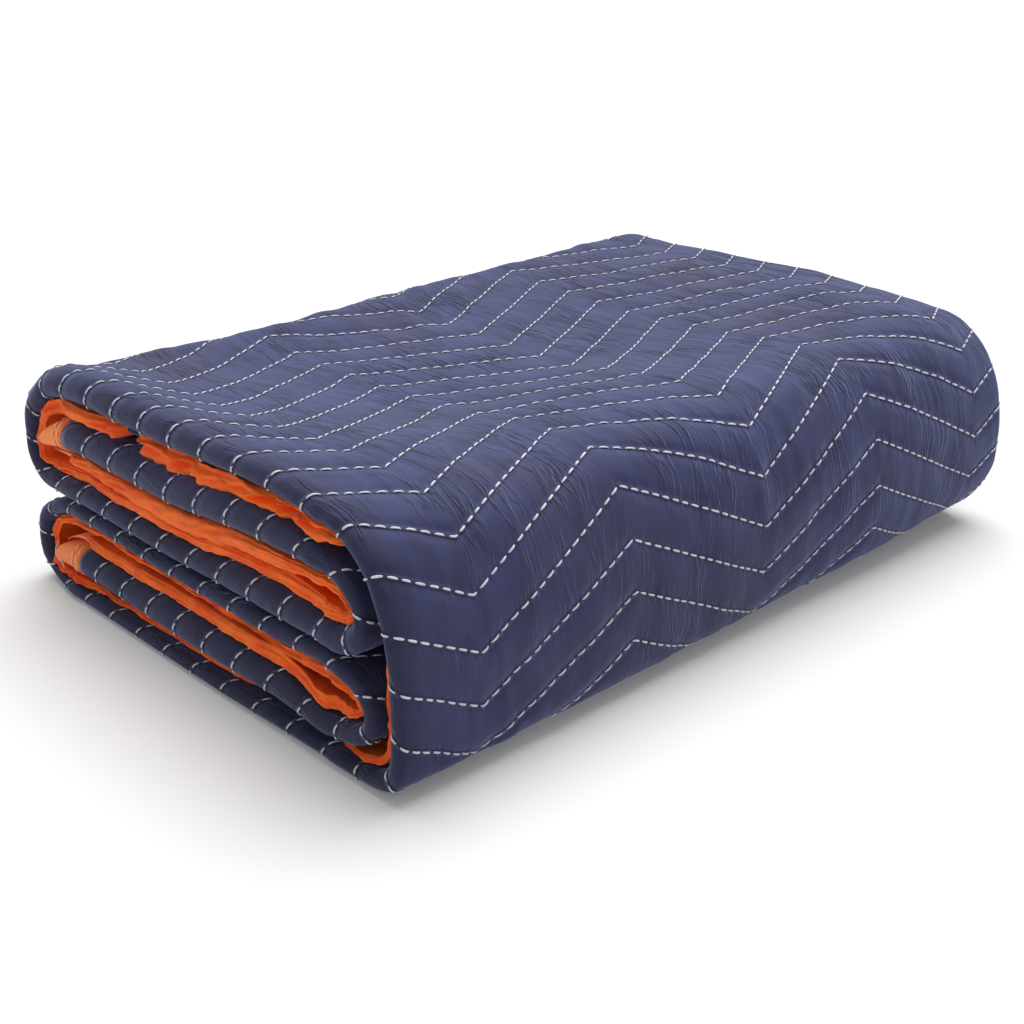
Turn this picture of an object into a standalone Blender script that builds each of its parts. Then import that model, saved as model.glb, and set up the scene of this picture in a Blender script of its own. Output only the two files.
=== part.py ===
"""Folded moving blanket: one quilted navy cloth with orange edge tape, folded into a flat bundle.

The cloth is 1.5 m by 2.0 m. It is first folded in three across its width, one third over from each
side, which makes a strip 0.50 m wide. The strip is then folded into six layers that lie on each other.

Frame: +X runs across the bundle towards the big round front fold, +Y runs along the bundle away from
the end that shows the layers, +Z is up. The origin is the middle of the underside.
"""
import math

import bmesh
import bpy
import numpy as np

# Sizes of the bundle, in metres.
STRIP_WIDTH = 0.500
BUNDLE_DEPTH = 0.340
CREST = 0.1395
QUILT_PITCH = 0.0275
QUILT_HALF_PERIOD = 0.104
FIRST_CORNER_ROW = 0.049
GROOVE_DEPTH = 0.0014
FOLD_GROOVE_DEPTH = 0.0008
PLY_GAP = 0.0009
PIECE_GAP = 0.0004
TAPE_THICKNESS = 0.0009
TAPE_WIDTH = 0.028
LIP_REACH = 0.0045
RELIEF_ROW = 0.001
TIP_ROW = 0.003
HEM_BACK = 0.006
TAPE_RIM = TAPE_WIDTH - 0.001

# Share of the strip's thickness that each of its three plies takes, from the outer one inwards.
PLY_SHARES = (0.36, 0.36, 0.28)

# Distances from the left side at which the layers' heights are given.
STATIONS = (0.050, 0.150, 0.240, 0.285)

# The layers in the order in which the strip runs through them. Columns: name, direction of the run
# along X, heights of the lower face at the stations, heights of the upper face at the stations,
# offset of the near end, offset of the far end.
LAYERS = (
    ("upper_inner", 1, (0.0850, 0.0820, 0.0905, 0.0940), (0.1105, 0.1125, 0.1175, 0.1150), -0.0030, 0.0030),
    ("upper_middle", -1, (0.0610, 0.0590, 0.0605, 0.0610), (0.0800, 0.0795, 0.0865, 0.0840), 0.0000, -0.0030),
    ("top", 1, (0.1140, 0.1160, 0.1210, 0.1185), (0.1395, 0.1395, 0.1390, 0.1335), 0.0000, 0.0000),
    ("bottom", -1, (0.0000, 0.0000, 0.0000, 0.0000), (0.0120, 0.0125, 0.0140, 0.0125), 0.0020, 0.0000),
    ("lower_middle", 1, (0.0450, 0.0440, 0.0440, 0.0460), (0.0595, 0.0575, 0.0590, 0.0595), 0.0010, 0.0030),
    ("lower_inner", -1, (0.0160, 0.0150, 0.0165, 0.0145), (0.0410, 0.0420, 0.0410, 0.0330), -0.0020, -0.0040),
)

# The turns between the layers. Columns: how far the outer face reaches along X and at which height,
# how far the inner face reaches and at which height, roundness of the upper half, of the lower half
# at the near end and of the lower half at the far end (2 is an ellipse, more is squarer).
TURNS = (
    (0.3170, 0.0830, 0.3050, 0.0880, 2.0, 2.2, 2.2),
    (0.0000, 0.0900, 0.0160, 0.0900, 2.8, 2.6, 2.6),
    (0.3400, 0.0500, 0.3255, 0.0500, 2.2, 5.0, 2.6),
    (0.0000, 0.0280, 0.0160, 0.0280, 2.6, 3.2, 3.2),
    (0.3215, 0.0370, 0.3100, 0.0385, 2.2, 2.2, 2.2),
)
# Columns: distance from the near end, share of the change from the near roundness to the far one.
ROUNDER = ((0.153, 0.00), (0.361, 0.45), (0.440, 0.80), (0.500, 1.00))

# Where the strip's two ends lie inside the rolls. Columns: X, height of the lower face, of the upper.
STRIP_START = (0.0265, 0.0865, 0.1045)
STRIP_END = (0.0290, 0.0180, 0.0350)

# How far the top lies below its near edge, in millimetres; lower layers sag less, in proportion to
# their height. Columns: X, then the near end, the five rows of quilting corners and the far end.
SAG_ROWS = (0.015, 0.049, 0.153, 0.257, 0.361, 0.465, 0.492)
SAG = (
    (0.000, 9.0, 6.0, 5.0, 4.0, 3.0, 2.0, 2.0),
    (0.012, 10.0, 8.0, 7.5, 5.2, 3.7, 1.9, 1.9),
    (0.020, 9.0, 8.8, 10.0, 6.8, 4.6, 1.9, 1.9),
    (0.028, 5.5, 10.9, 13.2, 9.4, 8.3, 3.2, 2.5),
    (0.054, 1.0, 11.2, 19.5, 14.9, 12.1, 5.7, 5.0),
    (0.109, 0.0, 10.4, 21.4, 19.0, 15.8, 4.1, 3.5),
    (0.137, 0.0, 9.9, 21.9, 19.9, 17.0, 4.2, 3.5),
    (0.164, 0.0, 8.6, 20.8, 19.9, 16.5, 3.7, 3.0),
    (0.192, 0.0, 7.2, 18.6, 18.4, 14.9, 2.9, 2.5),
    (0.219, 0.0, 5.6, 15.8, 14.4, 12.9, 1.4, 3.2),
    (0.246, 0.0, 3.2, 11.2, 10.6, 10.0, 1.4, 3.6),
    (0.274, -1.5, -1.0, 4.6, 3.8, 3.9, -1.0, 1.2),
    (0.301, 0.3, 0.3, 3.0, 1.8, 2.2, 0.6, 2.6),
    (0.325, -1.5, -1.5, -1.5, -2.5, -1.0, -0.3, 2.0),
    (0.345, 0.0, 0.0, 0.0, 0.0, 0.0, 0.0, 0.0),
)
# The hidden faces follow the sag in straight lines between these distances from the near end, and
# not the droop past the last row of corners.
SAG_KNOTS = (0.012, 0.032, 0.153, 0.361, 0.440, 0.500)

# The bottom layer comes forward at the near end, between the rolls. Columns: X, how far there.
BOTTOM_FORWARD = ((0.015, 0.0), (0.045, 0.0042), (0.200, 0.0036), (0.300, 0.0))
# The foot of the big front fold draws back at the far end.
FOOT_HEIGHT = 0.040
# Columns: distance from the near end, how far the foot draws back there.
FOOT_BACK = ((0.361, 0.0), (0.440, 0.0025), (0.500, 0.0100))

NAVY = (0.034, 0.041, 0.105, 1.0)
ORANGE = (0.78, 0.13, 0.018, 1.0)

FINE_STEPS = 48


def cloth_material(name, colour, roughness):
    """A plain cloth material."""
    material = bpy.data.materials.new(name)
    material.use_nodes = True
    shader = material.node_tree.nodes["Principled BSDF"]
    shader.inputs["Base Color"].default_value = colour
    shader.inputs["Roughness"].default_value = roughness
    shader.inputs["Metallic"].default_value = 0.0
    return material


def layer_faces(index):
    """Outer and inner face of one layer as arrays of X and Z, in the direction of the run."""
    _, direction, lower, upper, _, _ = LAYERS[index]
    places = list(STATIONS)
    lower = list(lower)
    upper = list(upper)
    for edge, owner in ((STRIP_START, 0), (STRIP_END, len(LAYERS) - 1)):
        if index == owner:
            places.insert(0, edge[0])
            lower.insert(0, edge[1])
            upper.insert(0, edge[2])
    x = np.linspace(places[0], places[-1], FINE_STEPS)
    low = eased(x, places, lower)
    high = eased(x, places, upper)
    if direction < 0:
        x, low, high = x[::-1], low[::-1], high[::-1]
        return np.stack([x, low], 1), np.stack([x, high], 1)
    return np.stack([x, high], 1), np.stack([x, low], 1)


def eased(x, places, values):
    """Values between the places, level at each place."""
    x = np.clip(x, places[0], places[-1])
    i = np.clip(np.searchsorted(places, x, side="right") - 1, 0, len(places) - 2)
    a = np.take(places, i)
    b = np.take(places, i + 1)
    t = (x - a) / (b - a)
    t = t * t * (3.0 - 2.0 * t)
    return np.take(values, i) * (1.0 - t) + np.take(values, i + 1) * t


def half_turn(x_from, z_from, x_reach, z_reach, roundness):
    """Quarter of a rounded square from a level start to the furthest point, evenly spaced."""
    angle = np.linspace(0.0, math.pi / 2, 200)
    across = np.sin(angle) ** (2.0 / roundness)
    up = np.cos(angle) ** (2.0 / roundness)
    points = np.stack([x_from + (x_reach - x_from) * across, z_reach + (z_from - z_reach) * up], 1)
    return respaced(points, FINE_STEPS // 2)


def respaced(points, count):
    """The same line with evenly spaced points."""
    run = np.concatenate([[0.0], np.cumsum(np.linalg.norm(np.diff(points, axis=0), axis=1))])
    even = np.linspace(0.0, run[-1], count)
    return np.stack([np.interp(even, run, points[:, k]) for k in range(2)], 1)


def turn_faces(index, before, after, far_end):
    """Outer and inner face of the turn between two layers' faces."""
    reach_out, height_out, reach_in, height_in, upper_round, near_round, far_round = TURNS[index]
    lower_round = far_round if far_end else near_round
    faces = []
    for face, reach, height in ((0, reach_out, height_out), (1, reach_in, height_in)):
        start = before[face][-1]
        stop = after[face][0]
        first, second = upper_round, lower_round
        if start[1] < stop[1]:
            first, second = lower_round, upper_round
        one = half_turn(start[0], start[1], reach, height, first)
        two = half_turn(stop[0], stop[1], reach, height, second)[::-1]
        faces.append(np.concatenate([one[1:], two[1:-1]]))
    return faces


def whole_path(far_end=False):
    """The strip's outer and inner face, run length of the outer one, and which part each point is in."""
    layers = [layer_faces(i) for i in range(len(LAYERS))]
    outer, inner, part = [], [], []
    for i, layer in enumerate(layers):
        outer.append(layer[0])
        inner.append(layer[1])
        part += [i] * len(layer[0])
        if i < len(TURNS):
            turn = turn_faces(i, layer, layers[i + 1], far_end)
            outer.append(turn[0])
            inner.append(turn[1])
            part += [i + 0.5] * len(turn[0])
    outer = np.concatenate(outer)
    inner = np.concatenate(inner)
    run = np.concatenate([[0.0], np.cumsum(np.linalg.norm(np.diff(outer, axis=0), axis=1))])
    return outer, inner, run, np.array(part)


OUTER, INNER, RUN, PART = whole_path()
FAR_OUTER, FAR_INNER, _, _ = whole_path(far_end=True)
TOP_INDEX = 2
BOTTOM_INDEX = 3
# The tenth quilting line crosses the top layer this far from the left side.
TENTH_LINE_X = 0.2755


def phase():
    """Run length at which the quilting lines are counted from."""
    top = PART == TOP_INDEX
    return float(np.interp(TENTH_LINE_X, OUTER[top, 0], RUN[top])) - 10 * QUILT_PITCH


PHASE = phase()
NEAR_OFFSETS = [row[4] for row in LAYERS]
FAR_OFFSETS = [row[5] for row in LAYERS]


def curve_through(x, places, values):
    """A smooth curve through the values."""
    places = np.asarray(places, float)
    values = np.asarray(values, float)
    slopes = np.gradient(values, places)
    x = np.clip(x, places[0], places[-1])
    i = np.clip(np.searchsorted(places, x, side="right") - 1, 0, len(places) - 2)
    gap = places[i + 1] - places[i]
    t = (x - places[i]) / gap
    low = (1 + 2 * t) * (1 - t) ** 2 * values[i] + t * t * (3 - 2 * t) * values[i + 1]
    return low + gap * (t * (1 - t) ** 2 * slopes[i] - t * t * (1 - t) * slopes[i + 1])


def sag_columns(distances):
    """For each distance from the near end, the sag in metres along an even row of places on X."""
    rows = np.array([curve_through(np.asarray(distances), SAG_ROWS, row[1:]) for row in SAG])
    places = [row[0] for row in SAG]
    return [curve_through(SAG_X, places, column) / 1000 for column in rows.T]


SAG_X = np.linspace(0.0, 0.345, 139)
SAG_Y = np.linspace(0.0, STRIP_WIDTH, 251)
SMOOTH_SAG = np.array(sag_columns(SAG_Y))
KNOT_SAG = np.array(sag_columns(np.minimum(SAG_KNOTS, SAG_ROWS[-2])))


def sag(x, y, smooth):
    """Loss of height at the top of the bundle."""
    table, places = (SMOOTH_SAG, SAG_Y) if smooth else (KNOT_SAG, np.array(SAG_KNOTS))
    y = min(max(y, places[0]), places[-1])
    j = min(int(np.searchsorted(places, y, side="right")) - 1, len(places) - 2)
    t = (y - places[j]) / (places[j + 1] - places[j])
    return float(np.interp(x, SAG_X, table[j] * (1.0 - t) + table[j + 1] * t))


def read(table, place):
    """The value of a two-column table at a place."""
    return float(np.interp(place, [row[0] for row in table], [row[1] for row in table]))


def ramp(value, start, stop):
    """0 at the start, 1 at the stop, level at both."""
    t = min(max((value - start) / (stop - start), 0.0), 1.0)
    return t * t * (3.0 - 2.0 * t)


def shift_along(part, x, y, z):
    """How far a point of the strip moves along the bundle."""
    near = float(np.interp(part, range(len(LAYERS)), NEAR_OFFSETS))
    far = float(np.interp(part, range(len(LAYERS)), FAR_OFFSETS))
    back = 0.0
    if abs(part - BOTTOM_INDEX) < 0.7:
        near -= read(BOTTOM_FORWARD, x) * ramp(z, 0.032, 0.012)
        back = read(FOOT_BACK, y) * ramp(z, FOOT_HEIGHT, 0.010)
    return near + (far - near) * y / STRIP_WIDTH - back


def on_path(s, path):
    return np.array([np.interp(s, RUN, path[:, k]) for k in range(2)])


def place(s, y, depth, smooth=False):
    """A point of the strip: run length, distance from the near end, depth below the outer face."""
    rounder = read(ROUNDER, y)
    out = on_path(s, OUTER) * (1.0 - rounder) + on_path(s, FAR_OUTER) * rounder
    inn = on_path(s, INNER) * (1.0 - rounder) + on_path(s, FAR_INNER) * rounder
    x, z = out + (inn - out) * depth / thickness(s)
    part = float(np.interp(s, RUN, PART))
    along = y + shift_along(part, x, y, z)
    z = z * (1.0 - sag(x, y, smooth) / CREST)
    return (x - BUNDLE_DEPTH / 2, along - STRIP_WIDTH / 2, z)


def thickness(s):
    """The strip's whole thickness at a run length."""
    return float(np.linalg.norm(on_path(s, INNER) - on_path(s, OUTER)))


def ply_depths(s):
    """Depths of the three plies' six faces, from the outer face inwards."""
    whole = thickness(s)
    cloth = whole - 2 * PLY_GAP
    first = cloth * PLY_SHARES[0]
    second = cloth * PLY_SHARES[1]
    return (0.0, first, first + PLY_GAP, first + PLY_GAP + second, first + 2 * PLY_GAP + second, whole)


QUARTER = QUILT_HALF_PERIOD / 4
QUILT_COLUMNS = [FIRST_CORNER_ROW + QUARTER * j for j in range(-1, 17)]
INNER_COLUMNS = list(SAG_KNOTS[1:-1])
HEM_RIM = SAG_KNOTS[-2]
MIDDLE_COLUMNS = INNER_COLUMNS[:-1]
FOLD_POINTS = 5
# Places in the outline of the third ply's edge and of the second ply's.
LIP_CORNER = len(QUILT_COLUMNS) + FOLD_POINTS + len(INNER_COLUMNS) + 1
HEM_CORNER = LIP_CORNER + 2 + 2 * len(INNER_COLUMNS) + 3 + 2 + len(MIDDLE_COLUMNS) + 3


def column_shift(j):
    """By how many half pitches a quilting line has moved along the run at a column."""
    j = j % 8
    return min(j, 8 - j)


def groove(row, shift, quilted):
    """True where a quilting line crosses this row at this column."""
    return quilted and (row + shift) % 2 == 0


def section(s, row=0, quilted=False, inset=0.0, recess=0.0):
    """The closed outline of the three plies at one run length, as points of the strip.

    The inset draws every face into the cloth; the recess does so only where a tape covers the edge.
    """
    d = ply_depths(s)
    thick = d[5]
    near_radius = d[3] / 2
    far_radius = thick / 2
    far_start = STRIP_WIDTH - far_radius
    points = []

    def add(y, depth, smooth=False):
        points.append(place(s, y, depth, smooth))

    for j, y in enumerate(QUILT_COLUMNS):
        depth = inset
        if groove(row, column_shift(j - 1), quilted):
            depth += GROOVE_DEPTH
        add(y, depth, True)
    # The outer side of the far fold, which joins the first and the third ply.
    for angle in (90, 45, 0, -45, -90):
        turn = math.radians(angle)
        reach = far_radius - inset
        if groove(row, 1, quilted) and angle > -90:
            reach -= FOLD_GROOVE_DEPTH
        add(far_start + reach * math.cos(turn), far_radius - reach * math.sin(turn), angle > 0)
    # The third ply's open face, its edge under the tape, and its face towards the second ply.
    for y in reversed(INNER_COLUMNS):
        add(y, d[5] - inset)
    edge = LIP_REACH + recess + inset
    rim = INNER_COLUMNS[0] - RELIEF_ROW
    add(rim, d[5] - inset - recess)
    add(edge, d[5] - inset - recess)
    add(edge, d[4] + inset + recess)
    add(rim, d[4] + inset + recess)
    for y in INNER_COLUMNS:
        add(y, d[4] + inset)
    # The inner side of the far fold.
    add(far_start, d[4] + inset)
    add(STRIP_WIDTH - d[1] + inset, thick / 2)
    add(far_start, d[1] - inset)
    for y in reversed(INNER_COLUMNS):
        add(y, d[1] - inset)
    # The slit between the first and the second ply ends in the near fold.
    add(d[1] - inset, d[1] - inset)
    add(d[1] - inset, d[2] + inset)
    for y in MIDDLE_COLUMNS:
        add(y, d[2] + inset)
    # The second ply's edge lies inside the far fold, under its own tape.
    reach = far_start - HEM_BACK - recess - inset
    add(HEM_RIM, d[2] + inset)
    add(HEM_RIM + RELIEF_ROW, d[2] + inset + recess)
    add(reach, d[2] + inset + recess)
    add(reach, d[3] - inset - recess)
    add(HEM_RIM + RELIEF_ROW, d[3] - inset - recess)
    add(HEM_RIM, d[3] - inset)
    for y in reversed(MIDDLE_COLUMNS):
        add(y, d[3] - inset)
    # The outer side of the near fold, which joins the second and the first ply.
    for angle in (-90, -45, 0, 45, 90):
        turn = math.radians(angle)
        reach = near_radius - inset
        if groove(row, 2, quilted) and angle > -90:
            reach -= FOLD_GROOVE_DEPTH
        add(near_radius - reach * math.cos(turn), near_radius - reach * math.sin(turn))
    return points


def edge_tape(s, depths, edge, rim, wall):
    """Outline of a tape folded over one ply's edge. Depths are those of the two faces that it covers."""
    top, under = depths
    side = 1.0 if rim > edge else -1.0
    outline = (
        (rim, top),
        (edge, top),
        (edge, under),
        (rim, under),
        (rim, under - wall),
        (edge + side * wall, under - wall),
        (edge + side * wall, top + wall),
        (rim, top + wall),
    )
    return [place(s, y, depth) for y, depth in outline]


def filled(ring):
    """Triangles over the outline: its two long sides are zipped together from the second ply's edge
    to the third ply's."""
    left = list(range(HEM_CORNER + 1, len(ring))) + list(range(LIP_CORNER + 1))
    right = list(range(HEM_CORNER, LIP_CORNER, -1))
    triangles = []
    i = j = 0
    while i < len(left) - 1 or j < len(right) - 1:
        ahead_left = math.dist(ring[left[i + 1]], ring[right[j]]) if i < len(left) - 1 else math.inf
        ahead_right = math.dist(ring[left[i]], ring[right[j + 1]]) if j < len(right) - 1 else math.inf
        if ahead_left <= ahead_right:
            triangles.append((left[i], left[i + 1], right[j]))
            i += 1
        else:
            triangles.append((left[i], right[j + 1], right[j]))
            j += 1
    return triangles


def along_width(ring):
    """Picks the diagonal that runs from the near side of one row to the far side of the next."""

    def split(_, j):
        return ring[(j + 1) % len(ring)][1] >= ring[j][1]

    return split


def skinned(name, rings, material, split=None):
    """A closed body through equal rings of points, with both ends filled."""
    mesh = bpy.data.meshes.new(name)
    body = bmesh.new()
    count = len(rings[0])
    rows = [[body.verts.new(point) for point in ring] for ring in rings]
    for i in range(len(rows) - 1):
        for j in range(count):
            k = (j + 1) % count
            a, b, c, d = rows[i][j], rows[i][k], rows[i + 1][k], rows[i + 1][j]
            if (split or along_width(rings[i]))(i, j):
                body.faces.new((a, b, c))
                body.faces.new((a, c, d))
            else:
                body.faces.new((a, b, d))
                body.faces.new((b, c, d))
    if split is None:
        body.faces.new(rows[0][3::-1] + rows[0][:3:-1])
        body.faces.new(rows[-1])
    else:
        for a, b, c in filled(rings[0]):
            body.faces.new((rows[0][a], rows[0][c], rows[0][b]))
        for a, b, c in filled(rings[-1]):
            body.faces.new((rows[-1][a], rows[-1][b], rows[-1][c]))
    if body.calc_volume(signed=True) < 0:
        bmesh.ops.reverse_faces(body, faces=body.faces)
    body.to_mesh(mesh)
    body.free()
    mesh.materials.append(material)
    mesh.shade_smooth()
    mesh.set_sharp_from_angle(angle=math.radians(50))
    piece = bpy.data.objects.new(name, mesh)
    bpy.context.collection.objects.link(piece)
    return piece


def rows_of_the_cloth(first, last):
    """Rows on the quilting's half pitches: close where a turn or the top shows, wide in hidden flats."""
    half = QUILT_PITCH / 2
    rows = []
    for row in range(math.ceil((first - PHASE) / half), math.floor((last - PHASE) / half) + 1):
        s = PHASE + row * half
        part = float(np.interp(s, RUN, PART))
        hidden = abs(part - round(part)) < 0.02 and round(part) != TOP_INDEX
        if not hidden or row % 4 == 0:
            rows.append((row, s, not hidden))
    return rows


def main():
    for old in list(bpy.data.objects):
        bpy.data.objects.remove(old, do_unlink=True)
    navy = cloth_material("navy_cloth", NAVY, 0.85)
    orange = cloth_material("orange_tape", ORANGE, 0.75)

    total = RUN[-1]
    cover = TAPE_THICKNESS + PIECE_GAP
    first_rim = TAPE_WIDTH + 0.002
    last_rim = total - TAPE_WIDTH - 0.002
    middle_rows = rows_of_the_cloth(first_rim + 0.006, last_rim - 0.006)

    rings = []
    start_rows = (cover, TIP_ROW, TAPE_RIM, first_rim - RELIEF_ROW)
    for s in start_rows:
        rings.append(section(s, inset=cover))
    rings.append(section(first_rim, recess=cover))
    for row, s, quilted in middle_rows:
        rings.append(section(s, row=row, quilted=quilted, recess=cover))
    rings.append(section(last_rim, recess=cover))
    for s in reversed(start_rows):
        rings.append(section(total - s, inset=cover))
    # Faces that lie against each other are split along the same diagonal, and the top along its quilting.
    by_width = along_width(rings[0])

    def panel_split(i, j):
        if j < len(QUILT_COLUMNS) - 1:
            return column_shift(j) > column_shift(j - 1)
        return by_width(i, j)

    skinned("quilted_panel", rings, navy, panel_split)

    lip_rows = [first_rim] + [s for _, s, _ in middle_rows] + [last_rim]
    lips = []
    hems = []
    for s in lip_rows:
        d = ply_depths(s)
        far_start = STRIP_WIDTH - d[5] / 2
        hem = far_start - HEM_BACK
        lips.append(edge_tape(s, (d[4], d[5]), LIP_REACH, LIP_REACH + TAPE_WIDTH - 0.003, TAPE_THICKNESS))
        hems.append(edge_tape(s, (d[2], d[3]), hem, hem - TAPE_WIDTH, TAPE_THICKNESS))
    skinned("near_edge_binding", lips, orange)
    skinned("inner_edge_binding", hems, orange)

    for name, tip, sign in (("upper_end_binding", 0.0, 1.0), ("lower_end_binding", total, -1.0)):
        places = [tip + sign * step for step in (TIP_ROW, TAPE_RIM)]
        outside = [section(tip, inset=TAPE_THICKNESS * 0.6)]
        outside += [section(s) for s in places]
        inside = [section(s, inset=TAPE_THICKNESS) for s in reversed(places)]
        inside.append(section(tip + sign * TAPE_THICKNESS, inset=TAPE_THICKNESS))
        outward = len(places)

        def tape_split(i, j, sign=sign, outward=outward):
            forward = (i < outward) == (sign > 0)
            return panel_split(i, j) == forward

        skinned(name, outside + inside, orange, tape_split)


main()
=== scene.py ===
import math

import bpy
import numpy as np
from mathutils import Matrix, Vector


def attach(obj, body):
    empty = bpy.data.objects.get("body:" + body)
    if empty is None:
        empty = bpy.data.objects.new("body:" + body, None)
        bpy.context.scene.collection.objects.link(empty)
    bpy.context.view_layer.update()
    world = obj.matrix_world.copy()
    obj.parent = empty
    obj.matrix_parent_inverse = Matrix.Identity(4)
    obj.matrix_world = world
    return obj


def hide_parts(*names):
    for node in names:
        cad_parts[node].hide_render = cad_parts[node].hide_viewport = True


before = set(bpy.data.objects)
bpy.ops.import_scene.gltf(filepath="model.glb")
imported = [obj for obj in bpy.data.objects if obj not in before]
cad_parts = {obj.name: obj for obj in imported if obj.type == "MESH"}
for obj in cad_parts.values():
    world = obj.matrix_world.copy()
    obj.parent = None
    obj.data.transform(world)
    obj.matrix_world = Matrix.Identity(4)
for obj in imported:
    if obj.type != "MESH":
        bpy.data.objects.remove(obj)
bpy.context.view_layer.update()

# The folded strip, in metres: the same layers, turns and plies as the solids have.
STRIP_WIDTH = 0.500
BUNDLE_DEPTH = 0.340
CREST = 0.1395
QUILT_PITCH = 0.0275
QUILT_SWING = 0.0510
QUILT_HALF_PERIOD = 0.104
FIRST_CORNER_ROW = 0.049
PLY_GAP = 0.0009
PLY_SHARES = (0.36, 0.36, 0.28)
TAPE_WIDTH = 0.028
LIP_REACH = 0.0045
# Where the cloth under the near edge's tape narrows to let the tape over it.
TAPE_SEAT = 0.030
# How deep the cloth lies under the tapes on the long edges.
TUCK = 0.0022
# How far the other long edge ends before the far fold begins: the cloth, and the tape over it.
HEM_CLOTH_BACK, HEM_TAPE_BACK = 0.008, 0.006
# Parts of the path, as numbers of layers and halves for the turns between them. The top shows with
# both its turns, and the lower roll shows its outer turn.
TOP_PARTS = (1.05, 2.95)
LOWER_ROLL_PARTS = (3.02, 3.98)
# Quilting relief: how high the cloth puffs between the lines and how deep the lines lie.
PUFF_RISE = 0.0012
LINE_DEPTH = 0.0010
# Height over the floor below which the bottom layer's relief fades out.
FLAT_BELOW = 0.012

STATIONS = (0.050, 0.150, 0.240, 0.285)
# Columns: name, direction of the run along X, heights of the lower face at the stations, heights of
# the upper face, offset of the near end, offset of the far end.
LAYERS = (
    ("upper_inner", 1, (0.0850, 0.0820, 0.0905, 0.0930), (0.1105, 0.1125, 0.1175, 0.1120), -0.0030, 0.0030),
    ("upper_middle", -1, (0.0610, 0.0590, 0.0605, 0.0610), (0.0800, 0.0795, 0.0865, 0.0840), 0.0000, -0.0030),
    ("top", 1, (0.1140, 0.1160, 0.1210, 0.1185), (0.1395, 0.1395, 0.1390, 0.1335), 0.0000, 0.0000),
    ("bottom", -1, (0.0000, 0.0000, 0.0000, 0.0000), (0.0120, 0.0125, 0.0140, 0.0125), 0.0020, 0.0000),
    ("lower_middle", 1, (0.0450, 0.0440, 0.0440, 0.0460), (0.0595, 0.0575, 0.0590, 0.0595), 0.0010, 0.0030),
    ("lower_inner", -1, (0.0160, 0.0150, 0.0165, 0.0145), (0.0410, 0.0420, 0.0410, 0.0330), -0.0020, -0.0040),
)
# Columns: how far the outer face reaches and at which height, the same for the inner face, roundness
# of the upper half, of the lower half at the near end and of the lower half at the far end.
TURNS = (
    (0.3170, 0.0830, 0.3050, 0.0880, 2.0, 2.2, 2.2),
    (0.0000, 0.0900, 0.0160, 0.0900, 2.8, 2.6, 2.6),
    (0.3400, 0.0500, 0.3255, 0.0500, 2.2, 5.0, 2.6),
    (0.0000, 0.0280, 0.0160, 0.0280, 2.6, 3.2, 3.2),
    (0.3215, 0.0370, 0.3100, 0.0385, 2.2, 2.2, 2.2),
)
# Columns: distance from the near end, share of the change from the near roundness to the far one.
ROUNDER = ((0.153, 0.00), (0.361, 0.45), (0.440, 0.80), (0.500, 1.00))
# Columns: X, height of the lower face, height of the upper face.
STRIP_START = (0.0265, 0.0865, 0.1045)
STRIP_END = (0.0290, 0.0180, 0.0350)
TENTH_LINE_X = 0.2755
TOP_INDEX = 2
BOTTOM_INDEX = 3

# How far the top lies below its near edge, in millimetres. Columns: X, then the five rows of quilting
# corners from the near end, then the far end.
SAG_ROWS = (0.015, 0.049, 0.153, 0.257, 0.361, 0.465, 0.492)
SAG = (
    (0.000, 9.0, 6.0, 5.0, 4.0, 3.0, 2.0, 2.0),
    (0.012, 10.0, 8.0, 7.5, 5.2, 3.7, 1.9, 1.9),
    (0.020, 9.0, 8.8, 10.0, 6.8, 4.6, 1.9, 1.9),
    (0.028, 5.5, 10.9, 13.2, 9.4, 8.3, 3.2, 2.5),
    (0.054, 1.0, 11.2, 19.5, 14.9, 12.1, 5.7, 5.0),
    (0.109, 0.0, 10.4, 21.4, 19.0, 15.8, 4.1, 3.5),
    (0.137, 0.0, 9.9, 21.9, 19.9, 17.0, 4.2, 3.5),
    (0.164, 0.0, 8.6, 20.8, 19.9, 16.5, 3.7, 3.0),
    (0.192, 0.0, 7.2, 18.6, 18.4, 14.9, 2.9, 2.5),
    (0.219, 0.0, 5.6, 15.8, 14.4, 12.9, 1.4, 4.5),
    (0.246, 0.0, 3.2, 11.2, 10.6, 10.0, 1.4, 5.5),
    (0.274, -1.5, -1.0, 4.6, 3.8, 3.9, -1.0, 3.5),
    (0.301, 0.3, 0.3, 3.0, 1.8, 2.2, 0.6, 4.5),
    (0.325, -1.5, -1.5, -1.5, -2.5, -1.0, -0.3, 4.5),
    (0.345, 0.0, 0.0, 0.0, 0.0, 0.0, 0.0, 0.0),
)

# The bottom layer comes forward at the near end, between the rolls. Columns: X, how far there. It does
# so in full below the second height, and not at all above the first.
BOTTOM_FORWARD = ((0.015, 0.0), (0.045, 0.0042), (0.200, 0.0036), (0.300, 0.0))
FORWARD_HEIGHTS = (0.032, 0.012)
# The foot of the big front fold draws back at the far end. Columns: distance from the near end, how far
# the foot draws back there. The heights are as above.
FOOT_BACK = ((0.361, 0.0), (0.440, 0.0025), (0.500, 0.0100))
FOOT_HEIGHTS = (0.040, 0.010)

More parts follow.
